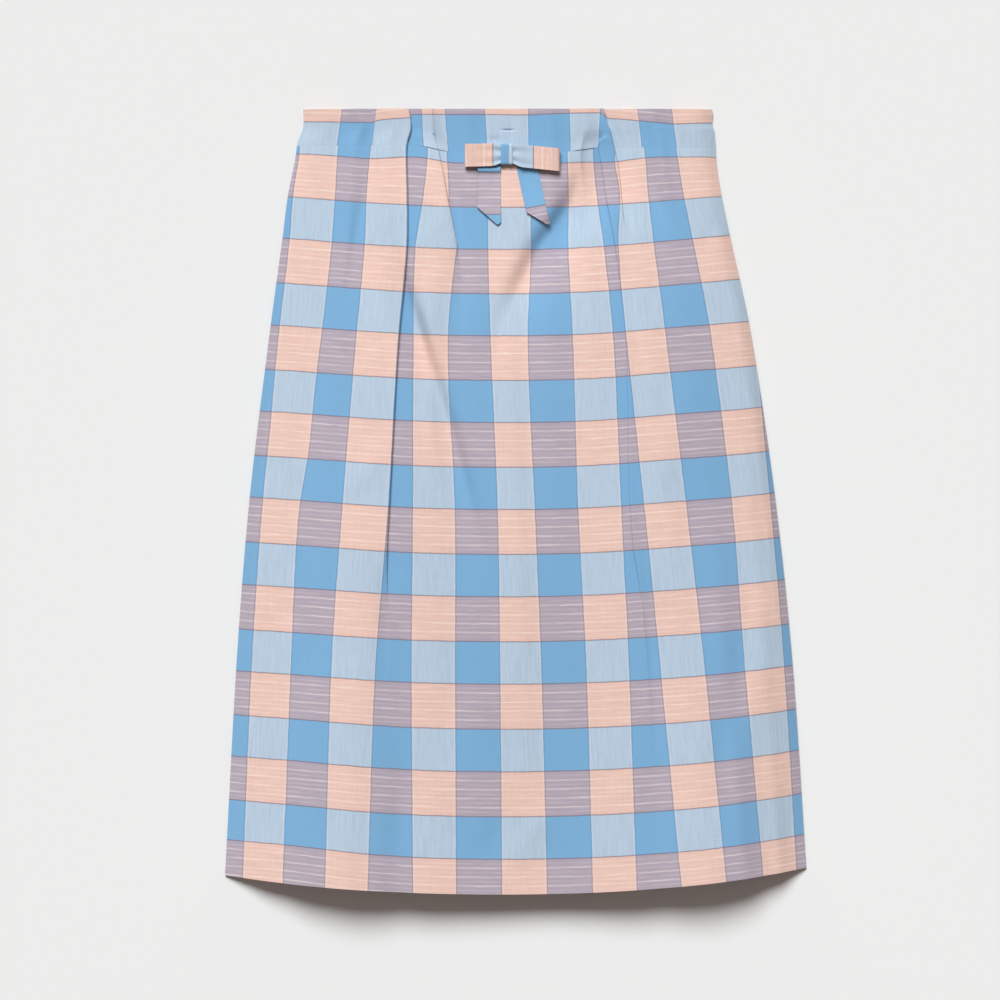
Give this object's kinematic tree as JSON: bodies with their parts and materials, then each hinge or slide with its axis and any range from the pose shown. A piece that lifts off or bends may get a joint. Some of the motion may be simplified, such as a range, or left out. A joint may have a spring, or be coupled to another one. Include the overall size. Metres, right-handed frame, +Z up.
{
  "type": "midi skirt",
  "caption": "Straight woven midi skirt with a gathered waistband and a small flat bow at the front, laid flat on its back; a garment for the lower body",
  "frame": {"origin": "centre of the bounding box in plan, on the plane that the skirt lies on", "axes": "+X to the viewer's right across the skirt, +Y along its length from the hem to the waist, +Z up from the surface, out of the front panel"},
  "size_m": [0.559, 0.7527, 0.0443],
  "materials": {
    "checked_cotton": "yarn-dyed plain weave cotton, matte"
  },
  "bodies": {
    "root": {"front_panel": "checked_cotton", "back_panel": "checked_cotton", "waistband_front": "checked_cotton", "waistband_back": "checked_cotton", "bow_loop_left": "checked_cotton", "bow_loop_right": "checked_cotton", "bow_knot": "checked_cotton", "bow_tail_left": "checked_cotton", "bow_tail_right": "checked_cotton"}
  },
  "joints": []
}
